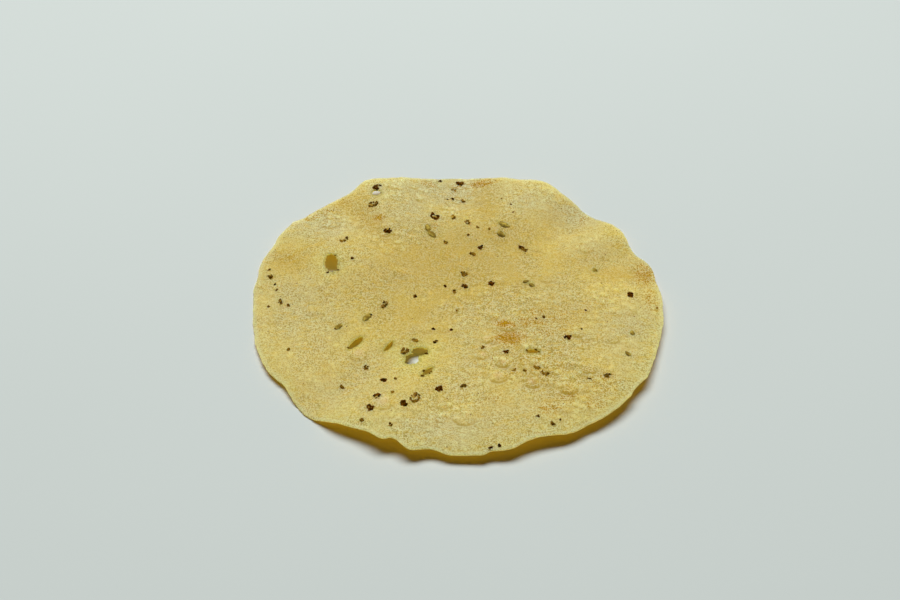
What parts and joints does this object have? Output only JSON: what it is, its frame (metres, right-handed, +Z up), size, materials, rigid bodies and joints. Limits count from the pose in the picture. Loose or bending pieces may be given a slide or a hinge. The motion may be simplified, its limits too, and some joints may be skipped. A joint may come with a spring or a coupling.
{
  "type": "papadum",
  "caption": "Thin wavy round of crisp fried lentil bread, blistered, freckled with seeds and pierced by a few small holes.",
  "frame": {"origin": "on the surface the papadum lies on, under the middle of its outline's box", "axes": "+Z up, through the thin way of the sheet; +Y away from the side the picture was taken from; +X to that view's right"},
  "size_m": [0.1976, 0.2022, 0.0105],
  "materials": {
    "fried_bread": "dull, finely blistered, pale gold with toasted patches and dark seeds"
  },
  "bodies": {
    "root": {"papadum": "fried_bread"}
  },
  "joints": []
}
